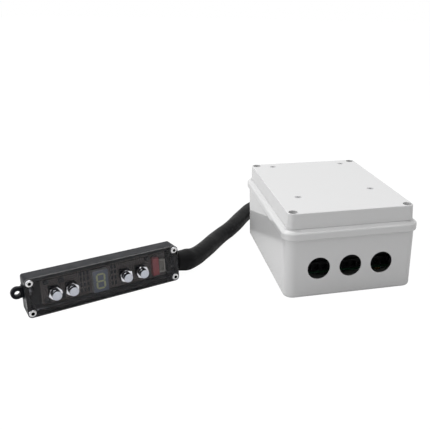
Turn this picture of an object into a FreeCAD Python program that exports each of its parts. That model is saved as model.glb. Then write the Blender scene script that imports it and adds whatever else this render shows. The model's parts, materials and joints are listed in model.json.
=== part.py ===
"""Pendant control station: a screwed plastic control box, a hand pendant with four
push-buttons and a one-digit display, and the sleeved cable between them.

Millimetres. +Z is up and the origin is the centre of the box's underside. The three
cable holes face -Y. The pendant stands on its long side to the left of the box.
Pendant pieces are drawn in a frame of their own, X along its length, Y up its height
and Z out of its cover's face, and then set in place.
"""
import FreeCAD, Part
import math
import os

V = FreeCAD.Vector
UP = V(0, 0, 1)

# control box
BOX_W, BOX_D = 121.0, 156.6
DRAFT = 1.0
BOX_R = 8.8
WALL = 2.8
FLOOR = 3.0
RIM_W, RIM_D = 125.4, 160.9
RIM_R = 10.9
RIM_LOW, RIM_HIGH = 54.4, 61.8
LEDGE_LOW, LEDGE_TOP = 58.6, 63.6
LEDGE_IN = 6.6
LID_LOW, LID_TOP = 63.75, 77.7
LID_W, LID_D = 115.6, 151.1
LID_R = 5.0
LID_DRAFT = 0.8
LID_WALL = 2.6
LID_ROOF = 2.8
LID_SCREWS = [(-52.7, -70.6), (52.7, -70.6), (-52.7, 70.6), (52.7, 70.6)]
LID_SCREW_NAMES = ["fl", "fr", "bl", "br"]
BOSS_R, BOSS_LOW = 7.8, 38.0
WELL_R = 7.0
SEAL_W, SEAL_D, SEAL_BEND = 113.8, 149.3, 5.9
MOUNT_SCREWS = [(-37.7, -34.5), (37.0, -24.0), (38.7, 62.9), (-36.9, 64.2)]
CABLE_R, CABLE_Z = 10.25, 26.8
CABLE_LIP, CABLE_RELIEF_R = 1.3, 12.6
CABLE_X = [-30.1, -1.0, 28.1]
FIX_X, FIX_Y, FIX_R = 50.0, 66.0, 2.5
ENTRY_X, ENTRY_Z, ENTRY_R = 41.0, 21.0, 9.8

# boards in the box
BOARD = (-46.0, 46.0, -58.0, 48.0)
BOARD_LOW, BOARD_TOP = 12.0, 13.6
STANDOFFS = [(-41.0, -43.5), (41.0, -43.5), (-41.0, 43.0), (41.0, 43.0)]
LID_BOARD = (-44.0, 44.0, -41.0, 69.0)
LID_BOARD_LOW, LID_BOARD_TOP = 65.4, 67.0

# pendant
PEN_L, PEN_H, PEN_T = 131.0, 33.4, 20.4
PEN_TAPER, PEN_END_TAPER = 0.066, 0.012
PEN_R, PEN_BACK_R = 3.7, 2.0
PEN_WALL = 3.0
COVER_T, SEAL_T = 3.0, 0.4
PEN_FLOOR = -17.6
PEN_CORNER = V(-269.0, -64.26, 0)
PEN_YAW = 19.13
PEN_LEAN = math.degrees(math.atan(PEN_TAPER))
PEN_SCREWS = [(3.7, 3.8), (PEN_L - 3.7, 3.8), (3.7, PEN_H - 3.8), (PEN_L - 3.7, PEN_H - 3.8)]
PEN_SCREW_LUG_R = 3.9
PEN_MID = PEN_H / 2
PCB_TOP, PCB_LOW = -9.0, -10.6
PCB_SCREWS = [(17.0, 8.4), (17.0, 25.0), (103.9, 8.4), (103.9, 25.0)]
DISPLAY_X, DISPLAY_Y = 60.5, 16.3
BUTTON_X = [22.4, 35.9, 81.7, 96.2]
EYE_X, EYE_Y, EYE_Z = -4.4, 19.8, -12.0
SPIGOT_Z = -11.0

# sleeved cable
SLEEVE_R = 8.25
SLEEVE_Z = 8.3
SLEEVE_ROUTE = [
    (-147.5, -9.3, 15.9),
    (-124.8, 2.2, 12.6),
    (-108.0, 26.0, 9.6),
    (-91.5, 53.5, SLEEVE_Z),
    (-75.8, 79.0, SLEEVE_Z),
    (-61.3, 105.2, SLEEVE_Z),
    (-47.2, 127.6, SLEEVE_Z),
    (-23.1, 140.4, 8.9),
    (4.2, 139.6, 11.5),
    (27.6, 125.5, 16.6),
    (ENTRY_X, 101.8, ENTRY_Z),
    (ENTRY_X, 72.0, ENTRY_Z),
]

NODES = {}


def add(name, *solids):
    """Keep one solid, or a group of separate solids, as a node."""
    NODES[name] = solids[0] if len(solids) == 1 else Part.makeCompound(list(solids))


def box(x0, x1, y0, y1, z0, z1):
    return Part.makeBox(x1 - x0, y1 - y0, z1 - z0, V(x0, y0, z0))


def cyl(x, y, z0, z1, r):
    return Part.makeCylinder(r, z1 - z0, V(x, y, z0), UP)


def cone(x, y, z0, z1, r0, r1):
    return Part.makeCone(r0, r1, z1 - z0, V(x, y, z0), UP)


def hexagon(x, y, z0, z1, flats, turn=0.0):
    """A hexagonal prism, measured across its flats."""
    r = flats / math.sqrt(3)
    angles = [math.radians(60 * i + turn) for i in range(7)]
    points = [V(x + r * math.cos(a), y + r * math.sin(a), z0) for a in angles]
    return Part.Face(Part.makePolygon(points)).extrude(V(0, 0, z1 - z0))


def outline(x0, x1, y0, y1, r, z):
    """A rectangle with round corners, as one closed wire at height z."""
    k = r * math.sqrt(0.5)
    arcs = []
    for sx, sy in [(1, -1), (1, 1), (-1, 1), (-1, -1)]:
        cx = x1 - r if sx > 0 else x0 + r
        cy = y1 - r if sy > 0 else y0 + r
        ends = [V(cx, cy + sy * r, z), V(cx + sx * r, cy, z)]
        if sx * sy > 0:
            ends.reverse()
        arcs.append((ends[0], V(cx + sx * k, cy + sy * k, z), ends[1]))
    edges = []
    for i, (start, middle, end) in enumerate(arcs):
        edges.append(Part.Arc(start, middle, end).toShape())
        edges.append(Part.LineSegment(end, arcs[(i + 1) % 4][0]).toShape())
    return Part.Wire(edges)


def centred(w, d, r, z):
    return outline(-w / 2, w / 2, -d / 2, d / 2, r, z)


def loft(*wires):
    return Part.makeLoft(list(wires), True, True)


def block(w, d, r, z0, z1):
    """An upright block about the Z axis with round corners."""
    return loft(centred(w, d, r, z0), centred(w, d, r, z1))


def round_level(solid, z, r):
    """Round the outer edges that lie in the plane at height z."""
    level = [e for e in solid.Edges if abs(e.BoundBox.ZMin - z) < 1e-4 and abs(e.BoundBox.ZMax - z) < 1e-4]
    return solid.makeFillet(r, level)


def fused(*solids):
    return solids[0].fuse(list(solids[1:])).removeSplitter()


def across(x, y0, y1, z, r):
    """A cylinder along Y."""
    return Part.makeCylinder(r, y1 - y0, V(x, y0, z), V(0, 1, 0))


def turned(x, y, profile):
    """A solid turned about an upright axis at (x, y), from (radius, height) points."""
    points = [V(r, 0, z) for r, z in profile]
    face = Part.Face(Part.makePolygon(points + points[:1]))
    solid = face.revolve(V(0, 0, 0), UP, 360)
    solid.translate(V(x, y, 0))
    return solid


# ---------------------------------------------------------------- control box
def enclosure_base():
    """The drafted box with its rim, lid ledge, corner bosses, seal groove and holes."""
    outer = loft(
        centred(BOX_W - DRAFT, BOX_D - DRAFT, BOX_R, 0),
        centred(BOX_W, BOX_D, BOX_R, RIM_LOW + 1),
    )
    outer = round_level(outer, 0, 2.4)
    rim = block(RIM_W, RIM_D, RIM_R, RIM_LOW, RIM_HIGH)
    rim = round_level(round_level(rim, RIM_LOW, 1.6), RIM_HIGH, 1.9)
    slope = loft(
        centred(RIM_W - 2.2, RIM_D - 2.2, RIM_R - 1.1, RIM_HIGH - 0.6),
        centred(LID_W + 1.2, LID_D + 1.2, LID_R + 1.0, LEDGE_TOP),
    )
    room = loft(
        centred(BOX_W - DRAFT - 2 * WALL, BOX_D - DRAFT - 2 * WALL, BOX_R - WALL, FLOOR),
        centred(BOX_W - 2 * WALL, BOX_D - 2 * WALL, BOX_R - WALL, LEDGE_LOW),
    )
    mouth = block(BOX_W - 2 * LEDGE_IN, BOX_D - 2 * LEDGE_IN, 3.0, LEDGE_LOW - 0.1, LEDGE_TOP + 1)
    core = block(BOX_W - 2, BOX_D - 2, BOX_R - 1, BOSS_LOW, LEDGE_TOP)
    bosses = [cyl(x, y, BOSS_LOW, LEDGE_TOP, BOSS_R).common(core) for x, y in LID_SCREWS]
    shell = fused(fused(outer, rim, slope).cut(room).cut(mouth), *bosses)
    cuts = [seal_loop(LEDGE_TOP - 1.7, LEDGE_TOP + 1, 0.85)]
    cuts += [cyl(x, y, LEDGE_TOP - 8.6, LEDGE_TOP + 1, 2.82) for x, y in LID_SCREWS]
    cuts += [cyl(x, y, LEDGE_TOP - 14, LEDGE_TOP, 2.1) for x, y in LID_SCREWS]
    cuts += [across(x, -BOX_D, 0, CABLE_Z, CABLE_R) for x in CABLE_X]
    cuts += [across(x, -BOX_D / 2 + CABLE_LIP, -BOX_D / 2 + 6, CABLE_Z, CABLE_RELIEF_R) for x in CABLE_X]
    cuts += [across(ENTRY_X, BOX_D / 2 - 8, BOX_D, ENTRY_Z, ENTRY_R)]
    cuts += [cyl(sx * FIX_X, sy * FIX_Y, -1, FLOOR + 1, FIX_R) for sx in (-1, 1) for sy in (-1, 1)]
    return shell.cut(cuts)


def seal_loop(z0, z1, half):
    """The seal under the lid's wall, which passes inside each corner screw, or its groove."""
    inner = block(SEAL_W - 2 * half, SEAL_D - 2 * half, LID_R - 2, z0, z1)
    outer = block(SEAL_W + 2 * half, SEAL_D + 2 * half, LID_R, z0, z1)
    holes = [cyl(x, y, z0 - 1, z1 + 1, SEAL_BEND - half) for x, y in LID_SCREWS]
    discs = [cyl(x, y, z0, z1, SEAL_BEND + half).common(inner) for x, y in LID_SCREWS]
    return fused(outer.cut(inner), *discs).cut(holes)


def lid_shell():
    """The deep lid, with a well for each corner screw and four small countersunk holes."""
    low_w, low_d = LID_W + LID_DRAFT, LID_D + LID_DRAFT
    outer = loft(centred(low_w, low_d, LID_R, LID_LOW), centred(LID_W, LID_D, LID_R, LID_TOP))
    outer = round_level(outer, LID_TOP, 0.7)
    room = loft(
        centred(low_w - 2 * LID_WALL, low_d - 2 * LID_WALL, 2.6, LID_LOW - 0.1),
        centred(LID_W - 2 * LID_WALL, LID_D - 2 * LID_WALL, 2.4, LID_TOP - LID_ROOF),
    )
    skin = block(LID_W - 1, LID_D - 1, LID_R - 0.5, LID_LOW, LID_TOP - 1)
    wells = [cyl(x, y, LID_LOW, LID_TOP - 1, WELL_R).common(skin) for x, y in LID_SCREWS]
    cuts = [cyl(x, y, 69.6, LID_TOP + 1, 4.0) for x, y in LID_SCREWS]
    cuts += [cyl(x, y, LID_LOW - 1, LID_TOP, 2.25) for x, y in LID_SCREWS]
    cuts += [cyl(x, y, LID_TOP - 5, LID_TOP + 1, 1.65) for x, y in MOUNT_SCREWS]
    cuts += [cone(x, y, LID_TOP - 1.75, LID_TOP + 0.1, 1.5, 3.35) for x, y in MOUNT_SCREWS]
    return fused(outer.cut(room), *wells).cut(cuts)


def lid_screw(x, y):
    """A slotted quarter-turn lid screw: a cheese head in its well and a plain shank."""
    head = turned(x, y, [(0, 69.8), (3.6, 69.8), (3.6, 72.3), (3.2, 72.7), (0, 72.7)])
    slot = box(x - 4, x + 4, y - 0.55, y + 0.55, 71.3, 73)
    shank = cyl(x, y, 55.6, 70, 1.95)
    return fused(head, shank).cut(slot)


def cross_recess(x, y, top, deep, reach, width=0.7):
    arm = box(x - reach, x + reach, y - width / 2, y + width / 2, top - deep, top + 1)
    other = box(x - width / 2, x + width / 2, y - reach, y + reach, top - deep, top + 1)
    return arm.fuse(other)


def mount_screw(x, y):
    """A countersunk screw that holds the board under the lid, its head flush with the lid."""
    top = LID_TOP - 0.05
    head = turned(x, y, [(0, top - 1.65), (1.4, top - 1.65), (3.0, top - 0.15), (3.0, top), (0, top)])
    shank = cyl(x, y, 61.6, top - 1.5, 1.4)
    return fused(head, shank).cut(cross_recess(x, y, top, 1.0, 1.6))


def pan_screw(x, y, seat, tip, head_r=2.8, shank_r=1.45):
    top = seat + 2.0
    head = turned(x, y, [(0, seat), (head_r, seat), (head_r, seat + 1.3), (head_r - 0.9, top), (0, top)])
    shank = cyl(x, y, tip, seat + 0.2, shank_r)
    return fused(head, shank).cut(cross_recess(x, y, top, 1.1, 1.5))


def standoff(x, y, z0, z1, flats, bore):
    return hexagon(x, y, z0, z1, flats).cut(cyl(x, y, z0 - 1, z1 + 1, bore))


def board(limits, z0, z1, holes, r):
    x0, x1, y0, y1 = limits
    plate = loft(outline(x0, x1, y0, y1, 2.0, z0), outline(x0, x1, y0, y1, 2.0, z1))
    return plate.cut([cyl(x, y, z0 - 1, z1 + 1, r) for x, y in holes])


def transformer():
    """An E-I laminated core and the wound bobbin on its centre leg."""
    cx, cy, z0 = -22.0, 20.0, BOARD_TOP
    core = box(cx - 21, cx + 21, cy - 9, cy + 9, z0, z0 + 36)
    windows = [box(x - 3.5, x + 3.5, cy - 10, cy + 10, z0 + 7, z0 + 29) for x in (cx - 10.5, cx + 10.5)]
    bobbin = loft(
        outline(cx - 13.7, cx + 13.7, cy - 16, cy + 16, 3.0, z0 + 7.3),
        outline(cx - 13.7, cx + 13.7, cy - 16, cy + 16, 3.0, z0 + 28.7),
    )
    leg = box(cx - 7.2, cx + 7.2, cy - 9.2, cy + 9.2, z0, z0 + 36)
    add("transformer_core", core.cut(windows))
    add("transformer_coil", bobbin.cut(leg))


def terminal_block(x0, ways, name):
    """Screw terminals along the board's front edge: a housing and its clamp screws."""
    pitch, y0, z0 = 7.5, BOARD[2] + 1.0, BOARD_TOP
    slot_z = z0 + 8.8
    housing = box(x0, x0 + pitch * ways, y0, y0 + 10, z0, z0 + 11)
    step = box(x0 - 1, x0 + pitch * ways + 1, y0 - 1, y0 + 3.4, z0 + 8.4, z0 + 12)
    centres = [x0 + pitch * (i + 0.5) for i in range(ways)]
    wells = [cyl(c, y0 + 6.6, z0 + 5.5, z0 + 12, 2.3) for c in centres]
    mouths = [box(c - 2.4, c + 2.4, y0 - 1, y0 + 4, z0 + 1.5, z0 + 6.5) for c in centres]
    add(name, housing.cut([step] + wells + mouths))
    slots = [box(c - 2.2, c + 2.2, y0 + 6.2, y0 + 7.0, slot_z, slot_z + 1) for c in centres]
    return [cyl(c, y0 + 6.6, z0 + 5.5, z0 + 9.6, 2.1).cut(slot) for c, slot in zip(centres, slots)]


def capacitor(x, y, r, height, z0):
    crimp = [(r, z0 + 2.0), (r - 0.5, z0 + 2.5), (r, z0 + 3.0)]
    crown = [(r, z0 + height - 0.6), (r - 0.6, z0 + height), (0, z0 + height)]
    return turned(x, y, [(0, z0), (r, z0)] + crimp + crown)


def power_parts():
    """What stands on the main board."""
    z0 = BOARD_TOP
    transformer()
    screws = terminal_block(-44.0, 5, "mains_terminals") + terminal_block(-1.0, 6, "output_terminals")
    add("terminal_screws", *screws)
    add("relays", *[
        round_level(box(x, x + 15.4, -40.0, -20.8, z0, z0 + 15.5), z0 + 15.5, 0.8) for x in (-4.0, 13.4, 30.0)
    ])
    add("capacitors", capacitor(12.0, 2.0, 6.5, 21.0, z0), capacitor(12.0, 18.0, 5.0, 16.0, z0),
        capacitor(12.0, 31.0, 5.0, 16.0, z0))
    fuse_y, fuse_z = -30.5, z0 + 6.0
    clips = [box(x, x + 4.0, fuse_y - 3.5, fuse_y + 3.5, z0, z0 + 8.0) for x in (-42.0, -20.0)]
    strip = box(-42.0, -16.0, fuse_y - 3.5, fuse_y + 3.5, z0, z0 + 1.2)
    seat = Part.makeCylinder(2.65, 30.0, V(-44.0, fuse_y, fuse_z), V(1, 0, 0))
    gap = box(-44.0, -14.0, fuse_y - 1.9, fuse_y + 1.9, fuse_z, z0 + 9)
    add("fuse_clips", fused(strip, *clips).cut([seat, gap]))
    tube = Part.makeCylinder(2.3, 12.0, V(-35.0, fuse_y, fuse_z), V(1, 0, 0))
    tube = tube.cut(Part.makeCylinder(1.8, 12.0, V(-35.0, fuse_y, fuse_z), V(1, 0, 0)))
    add("fuse_glass", tube)
    caps = [Part.makeCylinder(2.6, 5.0, V(x, fuse_y, fuse_z), V(1, 0, 0)) for x in (-40.0, -23.0)]
    add("fuse_caps", *caps)
    fins = [box(x, x + 1.4, -6.0, 8.0, z0, z0 + 25) for x in [26.0 + 3.4 * i for i in range(5)]]
    add("heat_sink", fused(box(26.0, 41.0, -8.0, -6.0, z0, z0 + 25), *fins))
    tab = box(28.5, 38.5, -9.3, -8.0, z0 + 5, z0 + 20)
    add("regulator", fused(tab, box(28.5, 38.5, -12.4, -9.3, z0 + 4.5, z0 + 13)))
    header = box(24.0, 44.0, 34.0, 39.8, z0, z0 + 9)
    add("pendant_header", header.cut(box(25.0, 43.0, 35.0, 38.8, z0 + 2, z0 + 10)))


def lid_parts():
    """The driver board that hangs from the lid, and what is on it."""
    z1 = LID_BOARD_LOW
    add("lid_mount_screws", *[mount_screw(x, y) for x, y in MOUNT_SCREWS])
    spacers = [cyl(x, y, LID_BOARD_TOP, LID_TOP - LID_ROOF, 3.0) for x, y in MOUNT_SCREWS]
    nuts = [hexagon(x, y, z1 - 2.4, z1, 5.5) for x, y in MOUNT_SCREWS]
    add("lid_spacers", *[s.cut(cyl(x, y, 60, 80, 1.6)) for s, (x, y) in zip(spacers, MOUNT_SCREWS)])
    add("lid_board", board(LID_BOARD, LID_BOARD_LOW, LID_BOARD_TOP, MOUNT_SCREWS, 1.6))
    add("lid_board_nuts", *[n.cut(cyl(x, y, 60, 80, 1.5)) for n, (x, y) in zip(nuts, MOUNT_SCREWS)])
    chips = [box(x, x + 10.0, y, y + 4.0, z1 - 1.6, z1) for x in (-22.0, -6.0, 10.0) for y in (2.0, 20.0)]
    chips.append(box(-12.0, 12.0, 38.0, 46.0, z1 - 3.4, z1))
    add("lid_board_chips", *chips)


def rear_grommet():
    """A rubber bush that lines the cable's hole in the back wall."""
    y_out = BOX_D / 2 - DRAFT / 2 * (1 - ENTRY_Z / RIM_LOW)
    y_in = y_out - WALL
    flange = across(ENTRY_X, y_out + 0.14, y_out + 2.2, ENTRY_Z, 12.4)
    neck = across(ENTRY_X, y_in - 1, y_out + 1, ENTRY_Z, ENTRY_R - 0.06)
    inner_flange = across(ENTRY_X, y_in - 2.2, y_in - 0.14, ENTRY_Z, 10.8)
    bore = across(ENTRY_X, y_in - 3, y_out + 3, ENTRY_Z, SLEEVE_R + 0.05)
    return fused(flange, neck, inner_flange).cut(bore)


# -------------------------------------------------------------------- pendant
def section(z, inset, r):
    """The pendant's outline at height z below its cover's face, drawn in by inset."""
    deep = -z
    x = PEN_END_TAPER * deep + inset
    y = PEN_TAPER * deep + inset
    return outline(x, PEN_L - x, y, PEN_H - y, r, z)


def pendant_slab(z0, z1, inset, r):
    return loft(section(z0, inset, r), section(z1, inset, r))


def lugs(z0, z1, r):
    return [cyl(x, y, z0, z1, r) for x, y in PEN_SCREWS]


def pendant_base():
    top = -COVER_T - SEAL_T
    outer = loft(section(-PEN_T, 0, PEN_BACK_R), section(top, 0, PEN_R - 0.2))
    outer = round_level(outer, -PEN_T, 0.6)
    room = pendant_slab(PEN_FLOOR, top + 0.5, PEN_WALL, 1.4)
    posts = fused(*lugs(PEN_FLOOR - 0.5, top, PEN_SCREW_LUG_R)).common(outer)
    stubs = [cyl(x, y, PEN_FLOOR - 0.5, PCB_LOW, 2.5) for x, y in PCB_SCREWS]
    shell = fused(outer.cut(room), posts, *stubs)
    cuts = lugs(top - 6.4, top + 1, 2.12)
    cuts += [cyl(x, y, PCB_LOW - 5, PCB_LOW + 1, 1.0) for x, y in PCB_SCREWS]
    cuts.append(Part.makeCylinder(5.05, 10, V(PEN_L - 7, PEN_MID, SPIGOT_Z), V(1, 0, 0)))
    cuts.append(Part.makeCylinder(2.05, 10, V(-2, EYE_Y, EYE_Z), V(1, 0, 0)))
    return shell.cut(cuts)


def pendant_seal():
    z0, z1 = -COVER_T - SEAL_T, -COVER_T
    full = pendant_slab(z0, z1, 0.25, PEN_R - 0.4)
    ring = full.cut(pendant_slab(z0, z1, PEN_WALL, 1.4))
    pads = fused(*lugs(z0, z1, PEN_SCREW_LUG_R)).common(full)
    return fused(ring, pads).cut(lugs(z0 - 1, z1 + 1, 1.7))


def pendant_cover():
    plate = round_level(pendant_slab(-COVER_T, 0, 0, PEN_R), 0, 0.6)
    z0, z1 = -COVER_T - 1.8, -COVER_T
    lip = pendant_slab(z0, z1, PEN_WALL + 0.2, 1.3).cut(pendant_slab(z0 - 1, z1 + 1, PEN_WALL + 1.4, 1.0))
    lip = lip.cut(lugs(z0 - 1, z1 + 1, PEN_SCREW_LUG_R + 0.4))
    cuts = lugs(-COVER_T - 1, 1, 1.7) + lugs(-1.3, 1, 3.25)
    cuts += [cyl(x, PEN_MID, -COVER_T - 1, 1, 3.5) for x in BUTTON_X]
    return fused(plate, lip).cut(cuts)


def cover_screw(x, y):
    """A button-head screw with a hexagonal socket."""
    seat = -1.3
    dome = [(3.05, seat + 0.6), (2.75, seat + 1.2), (2.1, seat + 1.65), (0, seat + 1.65)]
    head = turned(x, y, [(0, seat), (3.05, seat)] + dome)
    shank = cyl(x, y, -8.9, seat + 0.2, 1.48)
    return fused(head, shank).cut(hexagon(x, y, seat - 2.2, 1, 2.4, 10))


def button(number, x):
    """One push-button: barrel, washer, nut, moving cap, switch housing and spring."""
    y = PEN_MID
    flange = [(1.57, -3.6), (4.4, -3.6), (4.4, -3.0), (3.4, -3.0)]
    barrel = turned(x, y, flange + [(3.4, 1.8), (3.17, 2.05), (3.17, 4.6), (1.57, 4.6)])
    skirt = [(3.25, 6.0), (3.25, 3.3), (3.8, 3.3), (3.8, 6.7), (3.5, 7.0), (0, 7.0)]
    cap = turned(x, y, [(0, -6.0), (1.5, -6.0), (1.5, 6.0)] + skirt)
    washer = cyl(x, y, 0, 0.5, 4.9).cut(cyl(x, y, -1, 1, 3.5))
    nut = hexagon(x, y, 0.5, 2.0, 10.0, 12 * number).cut(cyl(x, y, 0, 3, 3.45))
    nut = nut.common(cone(x, y, -2.0, 2.0, 9.0, 5.2))
    housing = box(x - 4, x + 4, y - 4, y + 4, -8.9, -3.65).cut(cyl(x, y, -8.3, 0, 2.6))
    add(f"button_{number}_cap", cap)
    coils = [Part.makeTorus(1.7, 0.2, V(x, y, z), UP) for z in (-8.05, -7.6)]
    return barrel, washer, nut, housing, coils


def segment(x0, y0, length, upright):
    """One bar of the digit: a slim hexagon 1.5 wide with pointed ends."""
    w = 0.75
    along = [(0, 0), (w, w), (length - w, w), (length, 0), (length - w, -w), (w, -w)]
    z0, z1 = -3.6, -3.3
    points = [V(x0 + (b if upright else a), y0 + (a if upright else b), z0) for a, b in along]
    return Part.Face(Part.makePolygon(points + points[:1])).extrude(V(0, 0, z1 - z0))


def display():
    """A one-digit display: its body and the seven bars let into its face."""
    x, y = DISPLAY_X, DISPLAY_Y
    half_w, half_h, gap = 3.25, 6.3, 0.2
    bars = [segment(x - half_w + gap, y + k * half_h, 2 * (half_w - gap), False) for k in (-1, 0, 1)]
    sides = [(x + s * half_w, y + k * half_h + gap) for s in (-1, 1) for k in (-1, 0)]
    bars += [segment(bar_x, bar_y, half_h - 2 * gap, True) for bar_x, bar_y in sides]
    body = box(x - 6.3, x + 6.3, y - 9.5, y + 9.5, PCB_TOP, -3.3)
    add("display_body", body.cut(bars))
    add("display_bars", *bars)


def board_chips():
    """Small parts soldered to the pendant's board, beside the display and the buttons."""
    z = PCB_TOP
    columns, rows = (44.5, 47.4, 50.3, 71.0, 73.9), (8.0, 13.0, 18.0, 23.0)
    parts = [box(x, x + 1.6, y, y + 3.2, z, z + 0.6) for x in columns for y in rows]
    parts.append(box(87.5, 90.4, 8.0, 13.0, z, z + 1.5))
    parts.append(box(26.9, 31.4, 7.5, 12.0, z, z + 1.5))
    parts.append(box(26.9, 31.4, 21.5, 25.5, z, z + 1.0))
    return parts


def hang_eye():
    """An eye for a hook, held in the end wall by its own stud and a nut inside."""
    disc = cyl(EYE_X, EYE_Y, EYE_Z - 2.2, EYE_Z + 2.2, 5.0)
    neck = box(EYE_X, -0.3, EYE_Y - 4.6, EYE_Y + 4.6, EYE_Z - 2.2, EYE_Z + 2.2)
    outside = box(EYE_X - 6, -0.05, EYE_Y - 6, EYE_Y + 6, EYE_Z - 3, EYE_Z + 3)
    body = round_level(round_level(fused(disc, neck), EYE_Z + 2.2, 0.7), EYE_Z - 2.2, 0.7).common(outside)
    foot = box(-0.9, -0.05, EYE_Y - 5.2, EYE_Y + 5.2, EYE_Z - 3.2, EYE_Z + 3.2)
    stud = Part.makeCylinder(1.98, 8.5, V(-0.9, EYE_Y, EYE_Z), V(1, 0, 0))
    return fused(body, foot, stud).cut(cyl(EYE_X, EYE_Y, EYE_Z - 3, EYE_Z + 3, 2.2))


def eye_nut():
    x0 = PEN_WALL + 0.25
    nut = hexagon(0, 0, 0, 2.4, 7.0).cut(cyl(0, 0, -1, 4, 2.02))
    nut.Placement = FreeCAD.Placement(V(x0, EYE_Y, EYE_Z), FreeCAD.Rotation(V(0, 1, 0), 90))
    return nut


def sleeve_spigot():
    """A flanged tube through the end wall, which the sleeve is pushed over."""
    wall_in = PEN_L - PEN_WALL - 0.35
    axis = V(1, 0, 0)
    tube = Part.makeCylinder(5.0, PEN_L + 9 - wall_in, V(wall_in, PEN_MID, SPIGOT_Z), axis)
    flange = Part.makeCylinder(6.0, 1.5, V(wall_in - 1.5, PEN_MID, SPIGOT_Z), axis)
    barb = Part.makeCone(6.3, 5.0, 3.5, V(PEN_L + 4, PEN_MID, SPIGOT_Z), axis)
    return fused(tube, flange, barb).cut(Part.makeCylinder(3.8, 20, V(wall_in - 2, PEN_MID, SPIGOT_Z), axis))


def pendant():
    add("pendant_base", pendant_base())
    add("pendant_seal", pendant_seal())
    add("pendant_cover", pendant_cover())
    add("cover_screws", *[cover_screw(x, y) for x, y in PEN_SCREWS])
    add("cover_inserts", *[cyl(x, y, -9.6, -3.5, 2.1).cut(cyl(x, y, -10, -3, 1.53)) for x, y in PEN_SCREWS])
    groups = list(zip(*[button(i + 1, x) for i, x in enumerate(BUTTON_X)]))
    add("button_barrels", *groups[0])
    add("button_washers", *groups[1])
    add("button_nuts", *groups[2])
    add("switch_housings", *groups[3])
    add("switch_springs", *[coil for pair in groups[4] for coil in pair])
    display()
    add("pendant_board", board((13.0, 121.0, 5.2, 28.2), PCB_LOW, PCB_TOP, PCB_SCREWS, 1.3))
    add("pendant_board_screws", *[pan_screw(x, y, PCB_TOP, -15.0, 2.2, 0.98) for x, y in PCB_SCREWS])
    add("pendant_board_chips", *board_chips())
    add("led_bar", round_level(box(107.7, 113.5, 8.4, 24.4, PCB_TOP, -4.0), -4.0, 0.4))
    wide = box(114.0, 119.4, 10.0, 21.6, PCB_TOP, -4.6)
    add("cable_header", wide.cut(box(115.0, 118.4, 11.0, 20.6, -7.5, -4)))
    add("hang_eye", hang_eye())
    add("hang_eye_nut", eye_nut())
    add("sleeve_spigot", sleeve_spigot())


# --------------------------------------------------------------------- cable
def tube_along(route, radius):
    """Straight runs joined by tangent arcs, each as large as its two runs allow."""
    points = [V(*p) for p in route]
    edges = []
    start = points[0]
    for before, here, after in zip(points, points[1:], points[2:]):
        arrive = (here - before).normalize()
        leave = (after - here).normalize()
        half_turn = arrive.getAngle(leave) / 2
        reach = 0.45 * min(here.distanceToPoint(before), here.distanceToPoint(after))
        bend = reach / math.tan(half_turn)
        inward = (leave - arrive).normalize()
        middle = here + inward * (bend / math.cos(half_turn) - bend)
        first, last = here - arrive * reach, here + leave * reach
        edges.append(Part.LineSegment(start, first).toShape())
        edges.append(Part.Arc(first, middle, last).toShape())
        start = last
        turn = math.degrees(2 * half_turn)
        print(f"bend radius {bend:.1f} mm, {bend / (2 * radius):.2f} diameters, turn {turn:.1f} degrees")
    edges.append(Part.LineSegment(start, points[-1]).toShape())
    path = Part.Wire(edges)
    ring = Part.Wire([Part.makeCircle(radius, points[0], points[1] - points[0])])
    tube = path.makePipeShell([ring], True, False)
    expected = math.pi * radius ** 2 * path.Length
    print(f"sleeve {path.Length:.1f} mm long, volume {tube.Volume:.0f}, section times length {expected:.0f}")
    return tube


# ------------------------------------------------------------------ assembly
def control_box():
    add("enclosure_base", enclosure_base())
    add("lid_seal", seal_loop(LEDGE_TOP - 1.7, LEDGE_TOP - 0.05, 0.75))
    add("boss_inserts", *[cyl(x, y, LEDGE_TOP - 8.6, LEDGE_TOP - 0.3, 2.8).cut(cyl(x, y, 50, 65, 2.03))
                          for x, y in LID_SCREWS])
    add("rear_grommet", rear_grommet())
    add("main_board", board(BOARD, BOARD_LOW, BOARD_TOP, STANDOFFS, 1.6))
    add("board_standoffs", *[standoff(x, y, FLOOR, BOARD_LOW, 5.5, 1.5) for x, y in STANDOFFS])
    add("board_screws", *[pan_screw(x, y, BOARD_TOP, 7.0) for x, y in STANDOFFS])
    power_parts()
    add("lid_shell", lid_shell())
    for name, (x, y) in zip(LID_SCREW_NAMES, LID_SCREWS):
        add(f"lid_screw_{name}", lid_screw(x, y))
    lid_parts()


def main():
    control_box()
    add("harness_sleeve", tube_along(SLEEVE_ROUTE, SLEEVE_R))
    in_box = set(NODES)
    pendant()
    turn = FreeCAD.Rotation(UP, PEN_YAW).multiply(FreeCAD.Rotation(V(1, 0, 0), 90 - PEN_LEAN))
    stand = FreeCAD.Placement(PEN_CORNER, turn)
    os.makedirs("parts", exist_ok=True)
    for name, shape in NODES.items():
        if name not in in_box:
            shape = shape.copy()
            shape.Placement = stand.multiply(shape.Placement)
        if not shape.isValid():
            print("not valid:", name)
        shape.exportStep(f"parts/{name}.step")
    print(len(NODES), "nodes")


main()
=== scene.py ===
"""Looks of the pendant control station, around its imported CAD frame.

Metres, in the frame's own axes: +Z up, the three cable holes face -Y, and the hand
pendant stands to the left of the control box. The pendant's own axes are X along its
length, Y up its height and Z out of its cover, in millimetres.
"""
import json
import math

import bmesh
import bpy
from mathutils import Matrix, Vector, noise


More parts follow.
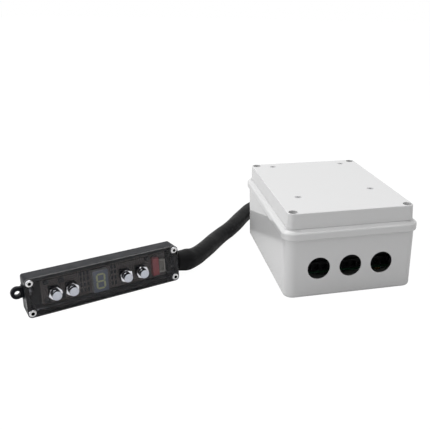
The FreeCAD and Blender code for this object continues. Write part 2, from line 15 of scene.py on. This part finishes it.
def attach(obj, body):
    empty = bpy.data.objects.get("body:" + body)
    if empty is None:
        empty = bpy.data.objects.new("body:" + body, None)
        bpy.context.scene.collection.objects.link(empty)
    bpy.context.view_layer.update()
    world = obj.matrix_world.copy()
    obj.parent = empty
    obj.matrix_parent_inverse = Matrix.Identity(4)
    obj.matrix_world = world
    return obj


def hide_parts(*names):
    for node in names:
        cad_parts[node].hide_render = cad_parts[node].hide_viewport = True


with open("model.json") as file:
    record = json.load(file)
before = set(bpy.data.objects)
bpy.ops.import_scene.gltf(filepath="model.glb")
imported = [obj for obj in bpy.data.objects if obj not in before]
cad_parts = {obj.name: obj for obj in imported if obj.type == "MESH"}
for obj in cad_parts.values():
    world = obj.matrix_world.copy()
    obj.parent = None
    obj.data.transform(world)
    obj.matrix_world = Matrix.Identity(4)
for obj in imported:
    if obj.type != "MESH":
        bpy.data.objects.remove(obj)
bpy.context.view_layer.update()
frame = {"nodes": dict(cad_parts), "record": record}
NODES = frame["nodes"]
MM = 0.001


# ---------------------------------------------------------------- camera and cord
CAMERA_AT = (-0.18323, -0.51162, 0.25226)
CAMERA_YAW, CAMERA_PITCH, CAMERA_ROLL = 14.66, 16.71, 1.11
CAMERA_LENS, CAMERA_SENSOR = 48.71, 36.0
CAMERA_SHIFT = (-0.143, -0.104)

PENDANT_CORNER = Vector((-269.0, -64.26, 0.0)) * MM
PENDANT_TURN = (math.radians(90 - 3.776), 0.0, math.radians(19.13))

# In the pendant's axes, in millimetres.
COVER_MIDDLE = (65.5, 16.7)
COVER_SCREW_REACH = (61.8, 12.9)
# Radius of the painted shade in each cover screw's socket.
SOCKET_R = 1.45
CAP_FACE_ABOVE = 6.75
DISPLAY_FACE_ABOVE = -3.4

SLEEVE_SIDES = 56
SLEEVE_R, LUMP, CREASE = 8.3, 0.6, 0.55  # millimetres
CREASE_PITCH, FULL_BEND = 0.0075, 20  # metres, and one over metres
SLEEVE_LOWEST = 0.0002
BEND_REACH = 12  # points of the line each way over which its bend is measured
SLEEVE_ROUTE = [
    (-0.1478, -0.0099, 0.0140),
    (-0.1330, -0.0042, 0.0108),
    (-0.1155, 0.0202, 0.0094),
    (-0.0975, 0.0495, 0.0088),
    (-0.0795, 0.0725, 0.0087),
    (-0.0630, 0.1010, 0.0085),
    (-0.0465, 0.1270, 0.0085),
    (-0.0225, 0.1416, 0.0090),
    (0.0055, 0.1406, 0.0118),
    (0.0300, 0.1245, 0.0168),
    (0.0408, 0.0950, 0.0210),
    (0.0410, 0.0720, 0.0210),
]


def make_camera():
    data = bpy.data.cameras.new("camera")
    data.sensor_width = CAMERA_SENSOR
    data.lens = CAMERA_LENS
    data.shift_x, data.shift_y = CAMERA_SHIFT
    camera = bpy.data.objects.new("camera", data)
    bpy.context.scene.collection.objects.link(camera)
    yaw, pitch, roll = (math.radians(a) for a in (CAMERA_YAW, CAMERA_PITCH, CAMERA_ROLL))
    turn = Matrix.Rotation(-yaw, 4, "Z") @ Matrix.Rotation(math.pi / 2 - pitch, 4, "X")
    camera.matrix_world = Matrix.Translation(CAMERA_AT) @ turn @ Matrix.Rotation(roll, 4, "Z")
    bpy.context.scene.camera = camera


def spline_points(route, name):
    """Points along the smooth line that the route controls, close together."""
    curve = bpy.data.curves.new(name, "CURVE")
    curve.dimensions = "3D"
    curve.resolution_u = 24
    spline = curve.splines.new("NURBS")
    spline.points.add(len(route) - 1)
    for point, at in zip(spline.points, route):
        point.co = (*at, 1.0)
    spline.order_u = 3
    spline.use_endpoint_u = True
    line = bpy.data.objects.new(name, curve)
    mesh = bpy.data.meshes.new_from_object(line)
    points = [v.co.copy() for v in mesh.vertices]
    bpy.data.meshes.remove(mesh)
    bpy.data.objects.remove(line)
    bpy.data.curves.remove(curve)
    return points


def link(name, mesh):
    piece = bpy.data.objects.new(name, mesh)
    bpy.context.scene.collection.objects.link(piece)
    return piece


def mesh_piece(name, bm, smooth=True):
    mesh = bpy.data.meshes.new(name)
    bmesh.ops.recalc_face_normals(bm, faces=bm.faces)
    bm.to_mesh(mesh)
    bm.free()
    for face in mesh.polygons:
        face.use_smooth = smooth
    return link(name, mesh)


def sleeve_radius(along, angle, bend, inward):
    """The sleeve's radius at a distance along it: bulged where it is pushed onto the pendant,
    lumpy over its wires, and creased on the inside of each bend."""
    grip = math.exp(-(((along - 0.012) / 0.006) ** 2))
    base = SLEEVE_R + math.exp(-((along / 0.055) ** 2)) + grip
    lumps = LUMP * noise.noise((along * 38, math.cos(angle) * 0.9, math.sin(angle) * 0.9))
    inside = max(0.0, math.cos(angle - inward)) ** 1.5
    drift = 1.3 * noise.noise((along * 90, 4.0, 0.0))
    crease = max(math.sin(along * 2 * math.pi / CREASE_PITCH + drift), 0) ** 2
    return (base + lumps - CREASE * inside * min(bend / FULL_BEND, 1.0) * crease) * MM


def make_sleeve():
    path = spline_points(SLEEVE_ROUTE, "sleeve_line")
    bm = bmesh.new()
    along, rings = 0.0, []
    for i, at in enumerate(path):
        before, after = path[max(i - 1, 0)], path[min(i + 1, len(path) - 1)]
        if i:
            along += (at - path[i - 1]).length
        forward = (after - before).normalized()
        side = forward.cross(Vector((0, 0, 1))).normalized()
        up = side.cross(forward)
        near, far = path[max(i - BEND_REACH, 0)], path[min(i + BEND_REACH, len(path) - 1)]
        swing = (far - at).normalized() - (at - near).normalized()
        bend = swing.length / max((far - near).length / 2, 1e-6)
        inward = math.atan2(swing.dot(up), swing.dot(side)) if swing.length > 1e-5 else 0.0
        outside_socket_shade = []
        for k in range(SLEEVE_SIDES):
            angle = 2 * math.pi * k / SLEEVE_SIDES
            out = side * math.cos(angle) + up * math.sin(angle)
            point = at + out * sleeve_radius(along, angle, bend, inward)
            point.z = max(point.z, SLEEVE_LOWEST)
            outside_socket_shade.append(bm.verts.new(point))
        rings.append(outside_socket_shade)
    for outside_socket_shade, after in zip(rings, rings[1:]):
        for k in range(SLEEVE_SIDES):
            next_k = (k + 1) % SLEEVE_SIDES
            bm.faces.new((outside_socket_shade[k], outside_socket_shade[next_k], after[next_k], after[k]))
    for outside_socket_shade in (rings[0], rings[-1]):
        bm.faces.new(outside_socket_shade)
    piece = mesh_piece("sleeve", bm)
    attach(piece, "root")
    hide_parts("harness_sleeve")
    return piece


# ---------------------------------------------------------------- materials
# The mix node's sockets by number: those for floats and colours share their names.
FLOAT_A, FLOAT_B, FLOAT_OUT = 2, 3, 0
COLOUR_A, COLOUR_B, COLOUR_OUT = 6, 7, 2


class Shader:
    """A material's node tree, with short ways to add the nodes that these looks need."""

    def __init__(self, name, base, rough, metal=0.0, **sockets):
        self.material = bpy.data.materials.new(name)
        self.material.use_nodes = True
        self.nodes = self.material.node_tree.nodes
        self.links = self.material.node_tree.links
        self.shader = self.nodes["Principled BSDF"]
        self.set(self.shader, "Base Color", (*base, 1.0))
        self.set(self.shader, "Roughness", rough)
        self.set(self.shader, "Metallic", metal)
        for socket, value in sockets.items():
            self.set(self.shader, socket.replace("_", " "), value)

    def set(self, node, socket, value):
        if hasattr(value, "node"):
            self.links.new(value, node.inputs[socket])
        else:
            node.inputs[socket].default_value = value

    def add(self, kind, inputs, **settings):
        node = self.nodes.new(kind)
        for key, value in settings.items():
            setattr(node, key, value)
        for socket, value in inputs.items():
            self.set(node, socket, value)
        return node

    def place(self, scale=1.0, pendant=False, stretch=(1, 1, 1)):
        """Coordinates in millimetres times scale, in the frame's or the pendant's axes."""
        source = self.add("ShaderNodeTexCoord", {}).outputs["Object"]
        node = self.add("ShaderNodeMapping", {"Vector": source}, vector_type="TEXTURE")
        node.inputs["Scale"].default_value = [MM / scale / s for s in stretch]
        if pendant:
            node.inputs["Location"].default_value = PENDANT_CORNER
            node.inputs["Rotation"].default_value = PENDANT_TURN
        return node.outputs["Vector"]

    def noise(self, at, detail=3.0):
        inputs = {"Vector": at, "Scale": 1.0, "Detail": detail}
        return self.add("ShaderNodeTexNoise", inputs).outputs["Fac"]

    def ramp(self, value, low, high, out_low=0.0, out_high=1.0):
        inputs = {"Value": value, "From Min": low, "From Max": high}
        inputs.update({"To Min": out_low, "To Max": out_high})
        return self.add("ShaderNodeMapRange", inputs).outputs["Result"]

    def math(self, operation, a, b=0.0):
        return self.add("ShaderNodeMath", {0: a, 1: b}, operation=operation).outputs[0]

    def split(self, vector):
        node = self.add("ShaderNodeSeparateXYZ", {"Vector": vector})
        return node.outputs["X"], node.outputs["Y"], node.outputs["Z"]

    def mix(self, share, a, b):
        """Colour a where share is 0, and colour b where it is 1."""
        node = self.add("ShaderNodeMix", {}, data_type="RGBA")
        self.set(node, "Factor", share)
        for index, value in ((COLOUR_A, a), (COLOUR_B, b)):
            self.set(node, index, value if hasattr(value, "node") else (*value, 1.0))
        return node.outputs[COLOUR_OUT]

    def surface(self, share, first, second):
        """The surface follows the first shader where share is 0, and the second where it is 1."""
        node = self.add("ShaderNodeMixShader", {0: share, 1: first, 2: second})
        output = self.nodes["Material Output"]
        self.links.new(node.outputs["Shader"], output.inputs["Surface"])

    def colour(self, value):
        self.set(self.shader, "Base Color", value)

    def roughness(self, value):
        self.set(self.shader, "Roughness", value)

    def bump(self, height, strength, distance=0.05):
        """Fine relief: distance is how high a full step of height stands, in millimetres."""
        inputs = {"Height": height, "Strength": strength, "Distance": distance * MM}
        before = self.shader.inputs["Normal"].links
        if before:
            inputs["Normal"] = before[0].from_socket
        self.set(self.shader, "Normal", self.add("ShaderNodeBump", inputs).outputs["Normal"])


def vary(s, base, spread, at):
    """The base colour, a little lighter and darker in soft patches."""
    dark = [c * (1 - spread) for c in base]
    light = [min(c * (1 + spread), 1.0) for c in base]
    s.colour(s.mix(s.noise(at, detail=4.0), dark, light))


def moulded(name, base, rough, grain, grain_size, spread=0.03, pendant=False, **sockets):
    """Injection-moulded plastic: faint flow patches, a spread of gloss and a fine grain."""
    s = Shader(name, base, rough, **sockets)
    vary(s, base, spread, s.place(0.03, pendant))
    s.roughness(s.ramp(s.noise(s.place(0.11, pendant)), 0.3, 0.7, rough * 0.85, rough * 1.15))
    s.bump(s.noise(s.place(1 / grain_size, pendant), detail=2.0), 1.0, grain)
    return s.material


def metal(name, base, rough, brushed=None, pendant=False, grain=0.0006):
    """Plated or bare metal with faint machining marks."""
    s = Shader(name, base, rough, metal=1.0)
    marks = s.place(2.5, pendant, stretch=brushed or (1, 1, 1))
    vary(s, base, 0.05, s.place(0.6, pendant))
    s.roughness(s.ramp(s.noise(marks), 0.3, 0.7, rough * 0.75, rough * 1.3))
    s.bump(s.noise(marks, detail=5.0), 1.0, grain)
    return s.material


def smoked_cover():
    """Tinted clear plastic, which lets the lamps through to what lies under it."""
    s = Shader("smoked_cover", (0.66, 0.66, 0.70), 0.03, IOR=1.3, Transmission_Weight=1.0)
    s.bump(s.noise(s.place(0.12, True), detail=1.0), 1.0, 0.004)
    lamp = s.add("ShaderNodeLightPath", {}).outputs["Is Shadow Ray"]
    clear = s.add("ShaderNodeBsdfTransparent", {"Color": (0.86, 0.86, 0.88, 1.0)})
    s.surface(lamp, s.shader.outputs["BSDF"], clear.outputs["BSDF"])
    return s.material


def glass_tube():
    """The fuse's clear glass."""
    s = Shader("glass_tube", (0.95, 0.98, 0.97), 0.03, IOR=1.5, Transmission_Weight=1.0)
    s.bump(s.noise(s.place(0.5)), 1.0, 0.003)
    return s.material


def sleeve_skin():
    """Soft black tubing, uneven over its wires and finely grained."""
    black = (0.007, 0.007, 0.0075)
    s = Shader("sleeve", black, 0.42, Specular_IOR_Level=0.1)
    vary(s, black, 0.2, s.place(0.12))
    s.roughness(s.ramp(s.noise(s.place(0.15), detail=4.0), 0.3, 0.7, 0.34, 0.48))
    s.bump(s.noise(s.place(0.22), detail=4.0), 1.0, 0.25)
    s.bump(s.noise(s.place(5.0), detail=2.0), 1.0, 0.02)
    return s.material


def circuit_board(name, mask, copper, pitch, pendant=False):
    """Solder mask over copper: runs of track that turn here and there, and the gaps between."""
    s = Shader(name, mask, 0.42)
    x, y, _ = s.split(s.place(1.0, pendant))
    patch = s.noise(s.place(0.09, pendant), detail=1.0)
    across = s.math("PINGPONG", s.math("ADD", x, s.math("MULTIPLY", patch, 9.0)), pitch / 2)
    along = s.math("PINGPONG", s.math("ADD", y, s.math("MULTIPLY", patch, 7.0)), pitch / 2)
    turn = s.math("GREATER_THAN", patch, 0.52)
    lane = s.add("ShaderNodeMix", {0: turn, FLOAT_A: across, FLOAT_B: along}).outputs[FLOAT_OUT]
    track = s.ramp(lane, pitch * 0.18, pitch * 0.24)
    cloud = s.noise(s.place(0.5, pendant), detail=4.0)
    colour = s.mix(track, [c * 0.8 for c in mask], copper)
    s.colour(s.mix(s.math("MULTIPLY", cloud, 0.25), colour, [c * 0.55 for c in mask]))
    s.roughness(s.ramp(cloud, 0.3, 0.7, 0.36, 0.5))
    s.bump(track, 1.0, 0.03)
    s.bump(s.noise(s.place(6.0, pendant)), 1.0, 0.006)
    return s.material


def cover_screw():
    """Bright zinc, with painted shade in the socket in the middle of each head: the socket is
    coloured near-black where its recess falls into shade.
    """
    s = Shader("cover_screw", (0.8, 0.8, 0.8), 0.22, metal=1.0)
    x, y, _ = s.split(s.place(1.0, True))
    squares = []
    for at, middle, reach in zip((x, y), COVER_MIDDLE, COVER_SCREW_REACH):
        off = s.math("ABSOLUTE", s.math("SUBTRACT", at, middle))
        squares.append(s.math("POWER", s.math("SUBTRACT", off, reach), 2.0))
    outside_socket_shade = s.math("GREATER_THAN", s.math("ADD", *squares), SOCKET_R ** 2)
    # Painted shade: the socket's disc is coloured near-black, and the ring around it bright zinc.
    s.colour(s.mix(outside_socket_shade, (0.02, 0.02, 0.02), (0.88, 0.88, 0.88)))
    s.roughness(s.ramp(s.noise(s.place(2.0, True)), 0.3, 0.7, 0.18, 0.3))
    s.bump(s.noise(s.place(4.0, True), detail=4.0), 1.0, 0.004)
    return s.material


def button_cap():
    """A satin face turned on the lathe, and a polished side coloured near-black as a painted dark
    reflection.
    """
    s = Shader("button_face", (0.78, 0.79, 0.84), 0.25, metal=1.0)
    _, _, height = s.split(s.place(1.0, True))
    face = s.math("GREATER_THAN", height, CAP_FACE_ABOVE)
    cloud = s.noise(s.place(0.8, True), detail=4.0)
    satin = s.mix(cloud, (0.46, 0.48, 0.54), (0.68, 0.70, 0.76))
    # Painted reflection: below the face, the polished side is coloured near-black in place of the
    # dark surroundings it mirrors.
    s.colour(s.mix(face, (0.02, 0.02, 0.024), satin))
    s.roughness(s.ramp(face, 0.0, 1.0, 0.08, 0.3))
    s.bump(s.noise(s.place(4.0, True), detail=4.0), 1.0, 0.004)
    return s.material


def display_body():
    """A painted face on a pale body: only what lies at the face's level is painted."""
    s = Shader("display_face", (0.2, 0.22, 0.25), 0.5)
    _, _, height = s.split(s.place(1.0, True))
    face = s.math("GREATER_THAN", height, DISPLAY_FACE_ABOVE)
    s.colour(s.mix(face, (0.5, 0.5, 0.46), (0.19, 0.215, 0.25)))
    s.roughness(s.ramp(s.noise(s.place(3.0, True)), 0.3, 0.7, 0.42, 0.6))
    s.bump(s.noise(s.place(7.0, True)), 1.0, 0.01)
    return s.material


def laminations():
    """A stack of varnished steel sheets, seen as fine lines across the core."""
    s = Shader("laminated_steel", (0.1, 0.1, 0.105), 0.45, metal=0.7)
    _, y, _ = s.split(s.place(1.0))
    sheet = s.math("PINGPONG", y, 0.25)
    s.colour(s.mix(s.ramp(sheet, 0.05, 0.2), (0.03, 0.03, 0.032), (0.2, 0.2, 0.21)))
    s.roughness(s.ramp(s.noise(s.place(1.5)), 0.3, 0.7, 0.35, 0.6))
    s.bump(sheet, 1.0, 0.1)
    return s.material


def winding():
    """Yellow tape wound over the coil, with its overlaps."""
    s = Shader("winding", (0.5, 0.33, 0.06), 0.35)
    _, _, z = s.split(s.place(1.0))
    lap = s.math("PINGPONG", z, 3.0)
    s.colour(s.mix(s.ramp(lap, 2.7, 3.0), (0.52, 0.36, 0.07), (0.36, 0.22, 0.04)))
    s.roughness(s.ramp(s.noise(s.place(0.8)), 0.3, 0.7, 0.28, 0.45))
    s.bump(s.math("ADD", lap, s.noise(s.place(0.6))), 1.0, 0.06)
    return s.material


def make_materials():
    box_grey = (0.62, 0.62, 0.622)
    black = (0.008, 0.0088, 0.012)
    brown, brown_track = (0.085, 0.074, 0.064), (0.2, 0.17, 0.14)
    green, green_track = (0.006, 0.045, 0.022), (0.014, 0.09, 0.038)
    return {
        "box_plastic": moulded(
            "box_plastic", box_grey, 0.06, 0.001, 0.9, 0.01, Specular_IOR_Level=0.8
        ),
        "black_plastic": moulded(
            "black_plastic", black, 0.36, 0.02, 0.35, 0.12, pendant=True, Specular_IOR_Level=0.09
        ),
        "smoked_cover": smoked_cover(),
        "black_rubber": moulded("black_rubber", (0.018, 0.018, 0.018), 0.6, 0.02, 0.5, 0.15),
        "sleeve": sleeve_skin(),
        "chrome": metal("chrome", (0.80, 0.81, 0.85), 0.07, pendant=True),
        "button_face": button_cap(),
        "screw_steel": metal("screw_steel", (0.66, 0.66, 0.67), 0.25, grain=0.002),
        # Near-black screws: on the lid screws this black is painted shade, in place of the shade
        # that falls in their deep wells.
        "dark_screw": moulded("dark_screw", (0.02, 0.02, 0.02), 0.5, 0.01, 0.4),
        "cover_screw": cover_screw(),
        "brass": metal("brass", (0.72, 0.5, 0.22), 0.25),
        "pendant_pcb": circuit_board("pendant_pcb", brown, brown_track, pendant=True, pitch=1.5),
        "green_pcb": circuit_board("green_pcb", green, green_track, pitch=2.6),
        "chip": moulded("chip", (0.02, 0.02, 0.022), 0.5, 0.01, 0.3),
        "display_face": display_body(),
        "display_bar": moulded("display_bar", (0.55, 0.58, 0.30), 0.35, 0.005, 0.8, pendant=True),
        "red_lens": moulded("red_lens", (0.48, 0.11, 0.11), 0.3, 0.005, 0.8, pendant=True),
        "nylon": moulded("nylon", (0.45, 0.43, 0.36), 0.45, 0.01, 0.6),
        "laminated_steel": laminations(),
        "winding": winding(),
        "relay_case": moulded("relay_case", (0.02, 0.07, 0.27), 0.3, 0.008, 0.8),
        "terminal_black": moulded("terminal_black", (0.02, 0.02, 0.021), 0.4, 0.01, 0.7),
        "capacitor": moulded("capacitor", (0.02, 0.02, 0.045), 0.25, 0.004, 1.0),
        "glass_tube": glass_tube(),
        "aluminium": metal("aluminium", (0.68, 0.69, 0.70), 0.32, brushed=(6, 6, 0.5), grain=0.004),
    }


def dress(materials):
    """Give each CAD node the material of its slot in the record."""
    for part in frame["record"]["subparts"]:
        material = materials[part["material_slot"]]
        for slot in NODES[part["node"]].material_slots:
            slot.material = material


# ---------------------------------------------------------------- floor and light
FLOOR_R, FLOOR_AT = 6.0, -0.0004
FLOOR_GLOW, FLOOR_GLOW_SHARE = 1.06, 0.93
STUDIO_SPAN = (-0.3, 0.6)  # over this reach of direction, from the camera's side to the far one
STUDIO_STRENGTH = (0.38, 0.75)  # the studio goes from the first strength to the second
LAMPS = (
    # name, place, aim, size and watts
    ("overhead", (-0.25, 0.25, 1.3), (-0.05, 0.0, 0.03), (1.5, 1.5), 14.5),
    ("left", (-1.3, -0.2, 0.7), (-0.05, 0.0, 0.03), (0.9, 0.9), 6.0),
    ("strip", (-0.25, -0.75, 1.2), (-0.2, -0.05, 0.03), (1.3, 0.06), 1.6),
)


def make_floor():
    """A white sweep: it looks evenly lit, and lights the object as a pale table does."""
    bm = bmesh.new()
    bmesh.ops.create_circle(bm, cap_ends=True, segments=96, radius=FLOOR_R)
    floor = mesh_piece("floor", bm, smooth=False)
    floor.location.z = FLOOR_AT
    s = Shader("floor", (0.62, 0.62, 0.62), 0.9, Specular_IOR_Level=0.1)
    seen = s.add("ShaderNodeLightPath", {}).outputs["Is Camera Ray"]
    glow = s.add("ShaderNodeEmission", {"Color": (1, 1, 1, 1), "Strength": FLOOR_GLOW})
    share = s.math("MULTIPLY", seen, FLOOR_GLOW_SHARE)
    s.surface(share, s.shader.outputs["BSDF"], glow.outputs["Emission"])
    floor.data.materials.append(s.material)


def area_light(name, at, aim, size, power):
    data = bpy.data.lights.new(name, "AREA")
    data.shape = "RECTANGLE"
    data.size, data.size_y = size
    data.energy = power
    lamp = bpy.data.objects.new(name, data)
    bpy.context.scene.collection.objects.link(lamp)
    lamp.location = at
    lamp.rotation_euler = (Vector(aim) - Vector(at)).to_track_quat("-Z", "Y").to_euler()


def make_world():
    """White behind the object, and a studio that is dimmer on the camera's side."""
    world = bpy.data.worlds.new("studio")
    world.use_nodes = True
    nodes, links = world.node_tree.nodes, world.node_tree.links
    at = nodes.new("ShaderNodeTexCoord").outputs["Generated"]
    split = nodes.new("ShaderNodeSeparateXYZ")
    links.new(at, split.inputs[0])
    side = nodes.new("ShaderNodeMapRange")
    links.new(split.outputs["Y"], side.inputs["Value"])
    sockets = ("From Min", "From Max", "To Min", "To Max")
    for socket, value in zip(sockets, STUDIO_SPAN + STUDIO_STRENGTH):
        side.inputs[socket].default_value = value
    seen = nodes.new("ShaderNodeMix")
    links.new(nodes.new("ShaderNodeLightPath").outputs["Is Camera Ray"], seen.inputs["Factor"])
    links.new(side.outputs["Result"], seen.inputs["A"])
    seen.inputs["B"].default_value = 1.0
    sky = nodes["Background"]
    sky.inputs["Color"].default_value = (1.0, 1.0, 1.0, 1.0)
    links.new(seen.outputs["Result"], sky.inputs["Strength"])
    bpy.context.scene.world = world


def make_light():
    bpy.context.scene.view_settings.view_transform = "Standard"
    for lamp in LAMPS:
        area_light(*lamp)


make_camera()
sleeve = make_sleeve()
materials = make_materials()
dress(materials)
sleeve.data.materials.append(materials["sleeve"])
make_floor()
make_world()
make_light()
